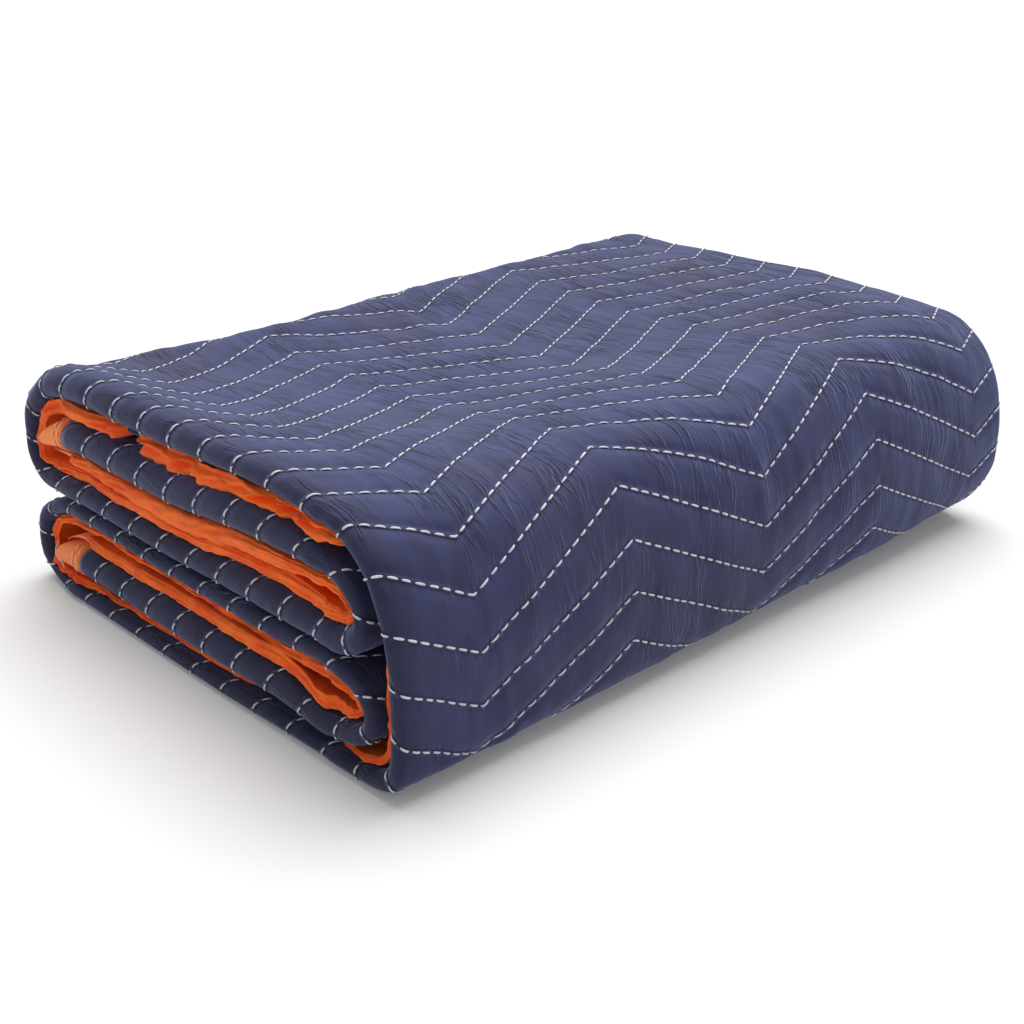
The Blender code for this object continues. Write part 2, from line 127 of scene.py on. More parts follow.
# The tape along the near edge. Columns: layer, X on it (or in a turn, the share of the way round),
# size against the ply's thickness, how far it sits towards the inner face, how far it comes forward,
# how crumpled it is.
LIPS = (
    (0, 0.040, 1.10, 0.0000, 0.0000, 0.7),
    (0, 0.150, 1.30, 0.0005, 0.0005, 0.6),
    (0, 0.280, 1.30, 0.0000, 0.0010, 0.8),
    (1, 0.280, 1.30, 0.0000, 0.0010, 0.8),
    (1, 0.150, 1.30, 0.0005, 0.0005, 0.6),
    (1, 0.050, 1.15, 0.0000, 0.0000, 0.8),
    (2, 0.050, 1.35, 0.0010, 0.0010, 1.6),
    (2, 0.104, 1.50, 0.0010, 0.0015, 2.2),
    (2, 0.112, 1.00, 0.0000, -0.0080, 1.0),
    (2, 0.122, 1.00, 0.0000, -0.0080, 1.0),
    (2, 0.128, 2.10, 0.0030, 0.0035, 2.6),
    (2, 0.190, 2.10, 0.0030, 0.0035, 2.4),
    (2, 0.215, 2.00, 0.0030, 0.0030, 1.4),
    (2, 0.240, 2.00, 0.0030, 0.0030, 2.2),
    (2, 0.284, 1.90, 0.0025, 0.0020, 2.6),
    (2.5, 0.06, 1.00, 0.0010, 0.0000, 1.2),
    (2.5, 0.11, 0.80, 0.0000, -0.0080, 0.6),
    (2.5, 0.36, 0.80, 0.0000, -0.0080, 0.6),
    (2.5, 0.43, 0.80, 0.0000, 0.0000, 0.6),
    (2.5, 0.70, 1.00, 0.0010, 0.0005, 1.0),
    (2.5, 0.96, 1.00, 0.0010, 0.0000, 1.0),
    (3, 0.280, 0.80, 0.0000, -0.0080, 0.6),
    (3, 0.232, 0.80, 0.0000, -0.0080, 0.6),
    (3, 0.212, 0.75, 0.0030, 0.0000, 0.5),
    (3, 0.100, 0.95, 0.0030, 0.0005, 0.6),
    (3, 0.050, 1.35, 0.0020, 0.0010, 1.2),
    (3.5, 0.50, 1.60, 0.0015, 0.0015, 1.6),
    (4, 0.050, 1.20, 0.0000, 0.0000, 1.0),
    (4, 0.150, 1.05, 0.0000, 0.0000, 0.6),
    (4, 0.220, 1.35, 0.0010, 0.0000, 0.8),
    (4, 0.280, 1.60, 0.0020, 0.0005, 1.0),
    (5, 0.280, 1.60, 0.0025, 0.0005, 1.0),
    (5, 0.220, 1.35, 0.0010, 0.0000, 0.8),
    (5, 0.150, 1.00, 0.0000, 0.0000, 0.6),
    (5, 0.050, 1.10, 0.0000, 0.0000, 0.9),
)


def blended(x, places, values):
    """Values between the places, level at each place."""
    x = np.clip(x, places[0], places[-1])
    i = np.clip(np.searchsorted(places, x, side="right") - 1, 0, len(places) - 2)
    t = (x - np.take(places, i)) / (np.take(places, i + 1) - np.take(places, i))
    t = t * t * (3.0 - 2.0 * t)
    return np.take(values, i) * (1.0 - t) + np.take(values, i + 1) * t


def curve_through(x, places, values):
    """A smooth curve through the values."""
    places = np.asarray(places, float)
    values = np.asarray(values, float)
    slopes = np.gradient(values, places)
    x = np.clip(x, places[0], places[-1])
    i = np.clip(np.searchsorted(places, x, side="right") - 1, 0, len(places) - 2)
    gap = places[i + 1] - places[i]
    t = (x - places[i]) / gap
    low = (1 + 2 * t) * (1 - t) ** 2 * values[i] + t * t * (3 - 2 * t) * values[i + 1]
    return low + gap * (t * (1 - t) ** 2 * slopes[i] - t * t * (1 - t) * slopes[i + 1])


def run_lengths(line):
    """Length of the way along a line up to each of its points."""
    return np.concatenate([[0.0], np.cumsum(np.linalg.norm(np.diff(line, axis=0), axis=1))])


def points_at(lengths, run, line):
    """Points of a line at lengths along it."""
    return np.stack([np.interp(lengths, run, line[:, k]) for k in range(line.shape[1])], -1)


def unit(rows):
    """The rows scaled to length 1."""
    return rows / (np.linalg.norm(rows, axis=1)[:, None] + 1e-12)


def layer_faces(index):
    """A layer's outer and inner face, in the direction of the run."""
    _, direction, lower, upper, _, _ = LAYERS[index]
    places, lower, upper = list(STATIONS), list(lower), list(upper)
    for edge, owner in ((STRIP_START, 0), (STRIP_END, len(LAYERS) - 1)):
        if index == owner:
            places.insert(0, edge[0])
            lower.insert(0, edge[1])
            upper.insert(0, edge[2])
    x = np.linspace(places[0], places[-1], 160)
    low = np.stack([x, blended(x, places, lower)], 1)
    high = np.stack([x, blended(x, places, upper)], 1)
    if direction < 0:
        return low[::-1], high[::-1]
    return high, low


def quarter_turn(start, x_reach, z_reach, roundness):
    """A quarter of an ellipse, squarer with more roundness than 2, in even steps."""
    angle = np.linspace(0.0, math.pi / 2, 400)
    across = np.sin(angle) ** (2.0 / roundness)
    up = np.cos(angle) ** (2.0 / roundness)
    line = np.stack([start[0] + (x_reach - start[0]) * across, z_reach + (start[1] - z_reach) * up], 1)
    run = run_lengths(line)
    return points_at(np.linspace(0.0, run[-1], 80), run, line)


def whole_path(far_end=False):
    """The strip's outer and inner face across the bundle, the run length along the outer face, and the
    part of the path that each point is in."""
    layers = [layer_faces(i) for i in range(len(LAYERS))]
    outer, inner, part = [], [], []
    for i, layer in enumerate(layers):
        outer.append(layer[0])
        inner.append(layer[1])
        part += [i] * len(layer[0])
        if i == len(TURNS):
            break
        out_x, out_z, in_x, in_z, above, near_below, far_below = TURNS[i]
        below = far_below if far_end else near_below
        for face, reach, height, target in ((0, out_x, out_z, outer), (1, in_x, in_z, inner)):
            start, stop = layer[face][-1], layers[i + 1][face][0]
            first, second = (below, above) if start[1] < stop[1] else (above, below)
            one = quarter_turn(start, reach, height, first)
            two = quarter_turn(stop, reach, height, second)[::-1]
            target.append(np.concatenate([one[1:], two[1:-1]]))
        part += [i + 0.5] * len(outer[-1])
    outer, inner = np.concatenate(outer), np.concatenate(inner)
    return outer, inner, run_lengths(outer), np.array(part)


OUTER, INNER, RUN, PART = whole_path()
FAR_OUTER, FAR_INNER, _, _ = whole_path(far_end=True)
TOTAL = RUN[-1]
on_top = PART == TOP_INDEX
PHASE = float(np.interp(TENTH_LINE_X, OUTER[on_top, 0], RUN[on_top])) - 10 * QUILT_PITCH

# The sag on an even grid, so that it is quick to read.
SAG_REACH = 0.345
SAG_STEPS_X, SAG_STEPS_Y = 138, 200
GRID_X = np.linspace(0.0, SAG_REACH, SAG_STEPS_X + 1)
GRID_Y = np.linspace(0.0, STRIP_WIDTH, SAG_STEPS_Y + 1)
SAG_PLACES = [row[0] for row in SAG]
across_rows = np.array([curve_through(GRID_Y, SAG_ROWS, row[1:]) for row in SAG])
GRID_SAG = np.array([curve_through(GRID_X, SAG_PLACES, column) for column in across_rows.T]).T / 1000


def sag(x, y):
    """Loss of height at the top, in metres."""
    u = np.clip(x / SAG_REACH * SAG_STEPS_X, 0, SAG_STEPS_X - 0.001)
    v = np.clip(y / STRIP_WIDTH * SAG_STEPS_Y, 0, SAG_STEPS_Y - 0.001)
    i, j = u.astype(int), v.astype(int)
    u, v = u - i, v - j
    low = GRID_SAG[i, j] * (1 - v) + GRID_SAG[i, j + 1] * v
    high = GRID_SAG[i + 1, j] * (1 - v) + GRID_SAG[i + 1, j + 1] * v
    return low * (1 - u) + high * u


LATTICE_SIZE = 256
LATTICE = np.random.RandomState(7).rand(LATTICE_SIZE, LATTICE_SIZE) * 2 - 1


def noise(u, v, seed=0):
    """Smooth noise from -1 to 1."""
    u, v = u + 17.3 * seed, v + 41.7 * seed
    i, j = np.floor(u).astype(int), np.floor(v).astype(int)
    a, b = u - i, v - j
    a, b = a * a * (3 - 2 * a), b * b * (3 - 2 * b)
    i, j, k, m = (n % LATTICE_SIZE for n in (i, j, i + 1, j + 1))
    low = LATTICE[i, j] * (1 - a) + LATTICE[k, j] * a
    high = LATTICE[i, m] * (1 - a) + LATTICE[k, m] * a
    return low * (1 - b) + high * b


def faces_at(s):
    """Outer point, inner point and thickness at run lengths."""
    out, inn = points_at(s, RUN, OUTER), points_at(s, RUN, INNER)
    return out, inn, np.linalg.norm(inn - out, axis=-1)


def depths_at(s):
    """Depths of the plies' faces: first inner, second inner, second outer, third inner, third outer."""
    _, _, thick = faces_at(s)
    cloth = thick - 2 * PLY_GAP
    first, second = cloth * PLY_SHARES[0], cloth * PLY_SHARES[1]
    return first, first + PLY_GAP, first + PLY_GAP + second, first + 2 * PLY_GAP + second, thick


def read(table, place_at):
    """The values of a two-column table at places."""
    return np.interp(place_at, [row[0] for row in table], [row[1] for row in table])


def ramp(value, start, stop):
    """0 at the start, 1 at the stop, level at both."""
    t = np.clip((value - start) / (stop - start), 0.0, 1.0)
    return t * t * (3.0 - 2.0 * t)


def place(s, y, depth):
    """Points of the strip: run length, distance from the near end, depth below the outer face."""
    s, y, depth = np.broadcast_arrays(np.asarray(s, float), y, depth)
    out, inn, thick = faces_at(s)
    rounder = read(ROUNDER, y)[..., None]
    out = out * (1.0 - rounder) + points_at(s, RUN, FAR_OUTER) * rounder
    inn = inn * (1.0 - rounder) + points_at(s, RUN, FAR_INNER) * rounder
    spot = out + (inn - out) * (depth / thick)[..., None]
    x, z = spot[..., 0], spot[..., 1]
    part = np.interp(s, RUN, PART)
    near = np.interp(part, range(len(LAYERS)), [row[4] for row in LAYERS])
    far = np.interp(part, range(len(LAYERS)), [row[5] for row in LAYERS])
    low = np.abs(part - BOTTOM_INDEX) < 0.7  # The bottom layer and its turns.
    near = near - low * read(BOTTOM_FORWARD, x) * ramp(z, *FORWARD_HEIGHTS)
    back = low * read(FOOT_BACK, y) * ramp(z, *FOOT_HEIGHTS)
    along = y + near + (far - near) * y / STRIP_WIDTH - back
    z = np.maximum(z * (1 - sag(x, y) / CREST), 0.0)
    return np.stack([x - BUNDLE_DEPTH / 2, along - STRIP_WIDTH / 2, z], -1)


def zigzag(v):
    """From 1 at the corners that point along the run to -1 at those between them."""
    w = np.abs(((v - FIRST_CORNER_ROW) / QUILT_HALF_PERIOD) % 2.0 - 1.0)
    return 2 * w - 1


def quilt_place(s, v):
    """How many pitches along the run, counted across the quilting lines."""
    return (s - PHASE) / QUILT_PITCH - QUILT_SWING / 2 / QUILT_PITCH * zigzag(v)


def relief(s, v):
    """Height of the quilted face over its plain shape, in metres."""
    w = quilt_place(s, v)
    w = w - np.floor(w)
    # Both long folds are pulled smoother than the cloth between them.
    loose = 1.0 - 0.7 * (ramp(v, 0.030, 0.004) + ramp(v, 0.440, 0.480))
    puff = (PUFF_RISE * np.sin(math.pi * w) ** 0.7 - LINE_DEPTH) * loose
    # Shallow folds run with the strip, in wandering lines and stronger in patches.
    across = v + 0.004 * noise(s / 0.060, v / 0.060, 5)
    folds = 0.0010 * noise(s / 0.055, across / 0.013, 1) + 0.0005 * noise(s / 0.026, across / 0.0085, 2)
    patches = 0.45 + 0.55 * np.abs(noise(s / 0.12, v / 0.09, 6))
    broad = 0.0009 * noise(s / 0.09, v / 0.10, 3)
    return puff + folds * patches * loose + broad


def cloth(s, v, lift=0.0, flat=0.0):
    """The navy face that shows, by run length and by distance across the cloth. Below zero it goes
    round the near fold onto the second ply, past the width round the far fold onto the third."""
    s, v = np.broadcast_arrays(np.asarray(s, float), np.asarray(v, float))
    d = depths_at(s)
    near, far = d[2] / 2, d[4] / 2
    height = lift + (1 - flat) * ground_free(s, v, relief(s, v))
    a = np.clip((near - v) / near, 0, math.pi)
    b = np.clip((v - (STRIP_WIDTH - far)) / far, 0, math.pi)
    over = np.maximum(near - math.pi * near - v, 0)
    past = np.maximum(v - (STRIP_WIDTH - far) - math.pi * far, 0)
    y = np.clip(v, near, STRIP_WIDTH - far)
    y = np.where(a > 0, near - (near + height) * np.sin(a) + over, y)
    y = np.where(b > 0, STRIP_WIDTH - far + (far + height) * np.sin(b) - past, y)
    depth = np.where(a > 0, near - (near + height) * np.cos(a), -height)
    depth = np.where(b > 0, far - (far + height) * np.cos(b), depth)
    return place(s, y, depth)


def ground_free(s, v, height):
    """The relief, faded out on the underside, which lies flat."""
    rise = faces_at(s)[0][..., 1]
    part = np.interp(s, RUN, PART)
    under = (np.abs(part - BOTTOM_INDEX) < 0.51) & (rise < FLAT_BELOW)
    fade = np.clip(rise / FLAT_BELOW, 0, 1)
    return np.where(under & (v > -0.002), height * fade, height)


def outline_rows(s, columns, slanted=True):
    """The three plies' closed outline at run lengths, as rows of points and of cloth coordinates. The
    slanted rows follow the quilting lines over the face that shows."""
    s = np.asarray(s, float)
    straight = 0.16  # The rows are straight at the ends of the strip and slanted from here on.
    swing = QUILT_SWING / 2 * ramp(s, TAPE_WIDTH, straight) * ramp(s, TOTAL - TAPE_WIDTH, TOTAL - straight)
    swing = swing * slanted
    d = depths_at(s)
    near, far = d[2] / 2, d[4] / 2
    far_start = STRIP_WIDTH - far
    points, marks, runs = [], [], []

    def along(values):
        for v in values:
            v = np.broadcast_to(v, s.shape)
            run = s + (swing * zigzag(v) * ramp(v, -0.020, 0.0)
                       * ramp(v, STRIP_WIDTH + 0.060, STRIP_WIDTH + 0.010))
            points.append(cloth(run, v))
            marks.append(v)
            runs.append(run)

    def at(y, depth, mark):
        points.append(place(s, np.broadcast_to(y, s.shape), depth))
        marks.append(np.broadcast_to(mark, s.shape))
        runs.append(s)

    inner = (0.032, 0.060, 0.105, 0.153, 0.205, 0.257, 0.309, 0.361, 0.413, 0.452)
    hidden = STRIP_WIDTH + 0.2  # The coordinate of all faces that lie inside the fold.
    steps = 12
    along([near - near * math.pi * k / steps for k in range(steps, 0, -1)])
    along([near + (columns[0] - near) * 0.5])
    along(columns)
    along([far_start + (columns[-1] - far_start) * 0.5])
    along([far_start + far * math.pi * k / steps for k in range(0, steps)])
    along([far_start + far * math.pi + far_start - y for y in reversed(inner)])
    edge = LIP_REACH + 0.004
    at(TAPE_SEAT, d[4] - TUCK, hidden)
    at(edge, d[4] - TUCK, hidden)
    at(edge, d[3] + TUCK, hidden)
    at(TAPE_SEAT, d[3] + TUCK, hidden)
    for y in inner:
        at(y, d[3], hidden)
    at(far_start, d[3], hidden)
    at(STRIP_WIDTH - d[0], d[4] / 2, hidden)
    at(far_start, d[0], hidden)
    for y in reversed(inner):
        at(y, d[0], hidden)
    at(d[0], d[0], hidden)
    at(d[0], d[1], hidden)
    for y in inner[:-1]:
        at(y, d[1], hidden)
    hem = far_start - HEM_CLOTH_BACK
    at(hem - TAPE_WIDTH, d[1] + TUCK, hidden)
    at(hem, d[1] + TUCK, hidden)
    at(hem, d[2] - TUCK, hidden)
    at(hem - TAPE_WIDTH, d[2] - TUCK, hidden)
    for y in reversed(inner[:-1]):
        at(y, d[2], hidden)
    return np.stack(points, 1), np.stack([np.stack(runs, 1), np.stack(marks, 1)], -1)


def add_piece(name, verts, faces, material):
    """A smooth mesh object in the scene."""
    mesh = bpy.data.meshes.new(name)
    mesh.from_pydata(verts, [], faces)
    mesh.shade_smooth()
    mesh.materials.append(material)
    piece = bpy.data.objects.new(name, mesh)
    bpy.context.collection.objects.link(piece)
    return piece


def tube_faces(base, rings, sides):
    """Faces of a closed tube through rings of points, counted from the base."""
    faces = []
    for n in range(rings - 1):
        for k in range(sides):
            a, b = base + n * sides + k, base + n * sides + (k + 1) % sides
            faces.append((a, b, b + sides, a + sides))
    faces.append(tuple(base + k for k in range(sides - 1, -1, -1)))
    faces.append(tuple(base + (rings - 1) * sides + k for k in range(sides)))
    return faces


def swept(name, rings, material, coordinates):
    """A closed piece through equal rings of points, with the cloth's coordinates as its UV map."""
    rows, count = rings.shape[:2]
    piece = add_piece(name, rings.reshape(-1, 3).tolist(), tube_faces(0, rows, count), material)
    mesh = piece.data
    layer = mesh.uv_layers.new(name="cloth")
    corners = np.zeros(len(mesh.loops), np.int32)
    mesh.loops.foreach_get("vertex_index", corners)
    layer.uv.foreach_set("vector", coordinates.reshape(-1, 2)[corners].astype(np.float32).ravel())
    return piece


class Shader:
    """Short hand for building a material's nodes."""

    def __init__(self, name):
        self.material = bpy.data.materials.new(name)
        self.material.use_nodes = True
        self.tree = self.material.node_tree
        self.shader = self.tree.nodes["Principled BSDF"]

    def set(self, socket, value):
        if hasattr(value, "is_linked"):
            self.tree.links.new(value, socket)
        else:
            socket.default_value = value

    def node(self, kind, inputs=(), **settings):
        new = self.tree.nodes.new(kind)
        for key, value in settings.items():
            setattr(new, key, value)
        for key, value in dict(inputs).items():
            self.set(new.inputs[key], value)
        return new

    def constants(self, values):
        """Plain values of the shader's own inputs."""
        for name, value in values.items():
            self.shader.inputs[name].default_value = value

    def math(self, operation, a, b=0.0, c=0.0):
        new = self.node("ShaderNodeMath", {0: a, 1: b, 2: c}, operation=operation)
        return new.outputs[0]

    def ranged(self, value, start, stop, low=0.0, high=1.0, ease="LINEAR"):
        """The low value at the start and the high one at the stop."""
        inputs = {"Value": value, "From Min": start, "From Max": stop, "To Min": low, "To Max": high}
        return self.node("ShaderNodeMapRange", inputs, interpolation_type=ease).outputs[0]

    def mix(self, share, a, b):
        new = self.tree.nodes.new("ShaderNodeMix")
        new.data_type = "RGBA"
        self.set(new.inputs["Factor"], share)
        self.set(new.inputs[6], a)
        self.set(new.inputs[7], b)
        return new.outputs[2]

    def noise(self, vector, scale, detail=2.0, roughness=0.5):
        new = self.node("ShaderNodeTexNoise", {"Vector": vector, "Scale": scale, "Detail": detail,
                                               "Roughness": roughness})
        return new.outputs["Fac"]

    def stretched(self, vector, scale):
        new = self.node("ShaderNodeVectorMath", {0: vector, 1: scale}, operation="MULTIPLY")
        return new.outputs["Vector"]

    def places(self):
        """The object's coordinates, the cloth's, and the cloth's two apart: along and across the strip."""
        spot = self.node("ShaderNodeTexCoord").outputs["Object"]
        uv = self.node("ShaderNodeUVMap", uv_map="cloth").outputs["UV"]
        parts = self.node("ShaderNodeSeparateXYZ", {0: uv})
        return spot, uv, parts.outputs["X"], parts.outputs["Y"]


def weave(shader, along, across, threads):
    """Height of a plain weave from two coordinates in metres."""
    a = shader.math("SINE", shader.math("MULTIPLY", along, threads * 2 * math.pi))
    b = shader.math("SINE", shader.math("MULTIPLY", across, threads * 2 * math.pi))
    return shader.math("MULTIPLY", a, b)


NAVY_DARK, NAVY_LIGHT = (0.024, 0.026, 0.078, 1), (0.038, 0.041, 0.118, 1)
# Painted shade: darker navies for the quilting lines' grooves, the creases' troughs, the wrinkles' troughs
# and the near fold's edge.
NAVY_LINE_SHADE, NAVY_CREASE_SHADE = (0.012, 0.014, 0.036, 1), (0.010, 0.012, 0.034, 1)
NAVY_WRINKLE_SHADE, NAVY_FOLD_SHADE = (0.008, 0.009, 0.026, 1), (0.009, 0.010, 0.026, 1)
WORN_NAVY = (0.040, 0.036, 0.066, 1)


def distance_to_line(m, s, v):
    """Distance to the nearest quilting line, as a share of the pitch."""
    w = m.math("PINGPONG", m.math("SUBTRACT", v, FIRST_CORNER_ROW), QUILT_HALF_PERIOD)
    swing = m.math("MULTIPLY_ADD", w, -2 / QUILT_HALF_PERIOD, 1.0)
    place_on = m.math("DIVIDE", m.math("SUBTRACT", s, PHASE), QUILT_PITCH)
    place_on = m.math("SUBTRACT", place_on, m.math("MULTIPLY", swing, QUILT_SWING / 2 / QUILT_PITCH))
    return m.math("PINGPONG", place_on, 0.5)


def navy_material():
    m = Shader("navy_quilting")
    spot, uv, s, v = m.places()
    line = distance_to_line(m, s, v)
    groove = m.ranged(line, 0.0, 0.09, ease="SMOOTHERSTEP")
    # Short puckers cross the lines, and creases run with the strip in slightly bent coordinates.
    pucker = m.noise(m.stretched(uv, (70.0, 260.0, 1.0)), 1.0, 2.0)
    bend = m.node("ShaderNodeTexNoise", {"Vector": uv, "Scale": 28.0, "Detail": 1.0}).outputs["Color"]
    bend = m.stretched(bend, (0.0, 0.012, 0.0))
    bent = m.node("ShaderNodeVectorMath", {0: uv, 1: bend}, operation="ADD").outputs["Vector"]
    crease = m.noise(m.stretched(bent, (34.0, 88.0, 1.0)), 1.0, 1.5, 0.5)
    closeness = m.math("SUBTRACT", 1.0, m.ranged(line, 0.02, 0.3, ease="SMOOTHSTEP"))
    height = m.math("MULTIPLY", groove, 0.5)
    height = m.math("MULTIPLY_ADD", m.math("MULTIPLY", pucker, closeness), 0.8, height)
    # Creases and wrinkles are deeper on the top than at the sides.
    normal = m.node("ShaderNodeNewGeometry").outputs["Normal"]
    upward = m.node("ShaderNodeSeparateXYZ", {0: normal}).outputs["Z"]
    depth = m.ranged(upward, 0.5, 0.9, 0.35, 1.5)
    height = m.math("MULTIPLY_ADD", crease, depth, height)
    # Thin sharp wrinkles, in patches.
    veins = m.noise(m.stretched(bent, (15.0, 85.0, 1.0)), 1.0, 3.0, 0.6)
    veins = m.ranged(m.math("ABSOLUTE", m.math("SUBTRACT", veins, 0.5)), 0.045, 0.0, ease="SMOOTHSTEP")
    patch = m.ranged(m.noise(m.stretched(uv, (14.0, 22.0, 1.0)), 1.0, 2.0), 0.42, 0.62)
    veins = m.math("MULTIPLY", m.math("MULTIPLY", veins, patch), depth)
    height = m.math("MULTIPLY_ADD", veins, -0.45, height)
    height = m.math("MULTIPLY_ADD", weave(m, s, v, 1100.0), 0.02, height)
    bump = m.node("ShaderNodeBump", {"Height": height, "Strength": 0.9, "Distance": 0.0018})
    shade = m.mix(m.ranged(m.noise(spot, 30.0, 3.0), 0.3, 0.7), NAVY_DARK, NAVY_LIGHT)
    # Painted shade: darker navy in the grooves along the quilting lines.
    shade = m.mix(m.math("MULTIPLY_ADD", groove, -0.15, 0.15), shade, NAVY_LINE_SHADE)
    # Painted shade: darker navy in the troughs of the creases.
    shade = m.mix(m.ranged(crease, 0.50, 0.30, high=0.35), shade, NAVY_CREASE_SHADE)
    # Painted shade: darker navy along the wrinkles' troughs, stronger on upward faces.
    shade = m.mix(m.math("MULTIPLY", veins, 0.35), shade, NAVY_WRINKLE_SHADE)
    shade = m.mix(m.ranged(m.noise(spot, 9.0, 4.0, 0.6), 0.50, 0.72, high=0.55), shade, WORN_NAVY)
    # Painted shade: darker navy round the near fold, whose curved face gets less light.
    shade = m.mix(m.ranged(v, 0.020, -0.004, high=0.6), shade, NAVY_FOLD_SHADE)
    m.set(m.shader.inputs["Base Color"], shade)
    m.set(m.shader.inputs["Normal"], bump.outputs["Normal"])
    m.constants({"Roughness": 0.78, "Specular IOR Level": 0.3, "Sheen Weight": 0.50, "Sheen Roughness": 0.36,
                 "Sheen Tint": (0.52, 0.60, 1.0, 1)})
    return m.material


def tape_material(name, light, dark, ribs, puckers):
    m = Shader(name)
    spot, uv, s, v = m.places()
    crumple = m.noise(m.stretched(uv, (95.0, 60.0, 1.0)), 1.0, 3.0, 0.6)
    fine = m.noise(m.stretched(uv, (320.0, 90.0, 1.0)), 1.0, 2.0)
    height = m.math("MULTIPLY_ADD", fine, 0.5 * puckers, m.math("MULTIPLY", crumple, puckers))
    height = m.math("MULTIPLY_ADD", weave(m, s, v, ribs), 0.03, height)
    bump = m.node("ShaderNodeBump", {"Height": height, "Strength": 0.8, "Distance": 0.0014})
    shade = m.mix(m.ranged(m.noise(spot, 45.0, 2.0), 0.35, 0.65), dark, light)
    m.set(m.shader.inputs["Base Color"], shade)
    m.set(m.shader.inputs["Normal"], bump.outputs["Normal"])
    m.constants({"Roughness": 0.7, "Specular IOR Level": 0.3, "Sheen Weight": 0.15, "Sheen Roughness": 0.4,
                 "Sheen Tint": (1.0, 0.55, 0.25, 1)})
    return m.material


def thread_material(name, dark, light):
    m = Shader(name)
    spot = m.node("ShaderNodeTexCoord").outputs["Object"]
    shade = m.mix(m.noise(spot, 400.0, 1.0), dark, light)
    m.set(m.shader.inputs["Base Color"], shade)
    m.constants({"Roughness": 0.55, "Sheen Weight": 0.2})
    return m.material


def floor_material():
    m = Shader("pale_floor")
    spot = m.node("ShaderNodeTexCoord").outputs["Object"]
    shade = m.mix(m.noise(spot, 2.0, 2.0), (0.60, 0.60, 0.60, 1), (0.62, 0.62, 0.62, 1))
    m.set(m.shader.inputs["Base Color"], shade)
    m.constants({"Roughness": 0.9, "Emission Color": (1, 1, 1, 1), "Emission Strength": 0.10})
    return m.material


# One stitch: the places of its rings along it, and their size and lift, all as shares.
STITCH_RINGS = (0.0, 0.18, 0.5, 0.82, 1.0)
STITCH_SWELL = (0.55, 0.95, 1.0, 0.95, 0.55)
STITCH_LIFT = (0.0, 0.55, 0.75, 0.55, 0.0)
# The directions of its section's corners.
STITCH_SIDES = [(math.cos(math.radians(turn)), math.sin(math.radians(turn)))
                for turn in (0, 60, 120, 180, 270)]


def dashes(lines, width, height, dash, gap, seed):
    """Stitches along lines, as vertices and faces. A line is what line_over gives."""
    rng = np.random.RandomState(seed)
    verts, faces = [], []
    for point, up, length in lines:
        at = rng.uniform(0, gap)
        while at + dash < length:
            size = dash * rng.uniform(0.88, 1.12) * (1.25 if rng.rand() < 0.05 else 1.0)
            steps = np.clip(np.array([at + share * size for share in STITCH_RINGS]) / length, 0, 1)
            core = point(steps)
            tangent = unit(np.gradient(core, axis=0))
            side = unit(np.cross(tangent, up(steps)))
            high = np.cross(side, tangent)
            faces += tube_faces(len(verts), len(STITCH_RINGS), len(STITCH_SIDES))
            for n, (swell, lift) in enumerate(zip(STITCH_SWELL, STITCH_LIFT)):
                centre = core[n] + high[n] * (lift * height)
                for c, q in STITCH_SIDES:
                    verts.append(centre + side[n] * c * width / 2 * swell + high[n] * q * height / 2 * swell)
            at += size + gap * rng.uniform(0.85, 1.15)
    return verts, faces


def line_over(s, v):
    """A line on the face that shows: its points and its outward directions, both as functions of shares
    of its length, and the length."""
    line = cloth(s, v)
    step = 0.0012
    normal = np.cross(cloth(s + step, v) - cloth(s - step, v), cloth(s, v + step) - cloth(s, v - step))
    normal = unit(normal)
    outward = cloth(s, v, lift=0.001, flat=1.0) - cloth(s, v, lift=0.0, flat=1.0)
    normal *= np.sign(np.sum(normal * outward, axis=1))[:, None]
    run = run_lengths(line)
    length = run[-1]
    return (lambda share: points_at(share * length, run, line),
            lambda share: points_at(share * length, run, normal), length)


def quilting_line(k, v_from, v_to):
    """One quilting line over the shown face between two cloth coordinates."""
    v = np.linspace(v_from, v_to, max(8, int((v_to - v_from) / 0.0015)))
    s = PHASE + (k + QUILT_SWING / 2 / QUILT_PITCH * zigzag(v)) * QUILT_PITCH
    clear = TAPE_WIDTH + 0.003
    inside = (s > clear) & (s < TOTAL - clear)
    return line_over(s[inside], v[inside]) if inside.sum() > 3 else None


def tape_lines():
    """Two rows of stitches along the inner edge of the tape at each end of the strip."""
    v = np.linspace(-0.018, 0.475, 330)
    places = [s for back in (0.0035, 0.0085) for s in (TAPE_WIDTH - back, TOTAL - TAPE_WIDTH + back)]
    return [line_over(np.full_like(v, s), v) for s in places]


# The way of the loose thread in front of the lower roll's tape.
HANGING_THREAD = ((-0.1334, -0.2530, 0.0340), (-0.1336, -0.2550, 0.0300), (-0.1325, -0.2560, 0.0272),
                  (-0.1290, -0.2564, 0.0252), (-0.1245, -0.2564, 0.0243), (-0.1232, -0.2562, 0.0212))


def hanging_thread(first):
    """Vertices and faces of the loose thread, counted from the first."""
    radius, lean, sides = 0.0003, 0.0002, 6
    verts = []
    for x, y, z in HANGING_THREAD:
        for k in range(sides):
            turn = math.radians(360 // sides * k)
            c, q = math.cos(turn), math.sin(turn)
            verts.append(np.array((x + radius * c, y + radius * q, z + lean * c)))
    return verts, tube_faces(first, len(HANGING_THREAD), sides)


def threads(name, verts, faces, material):
    """A piece of thread, kept above the floor."""
    return add_piece(name, [(x, y, max(z, 0.0)) for x, y, z in verts], faces, material)


def on_the_top(s):
    """True on the top and its two turns, where the outer face shows all over."""
    part = np.interp(s, RUN, PART)
    return (part > TOP_PARTS[0]) & (part < TOP_PARTS[1])


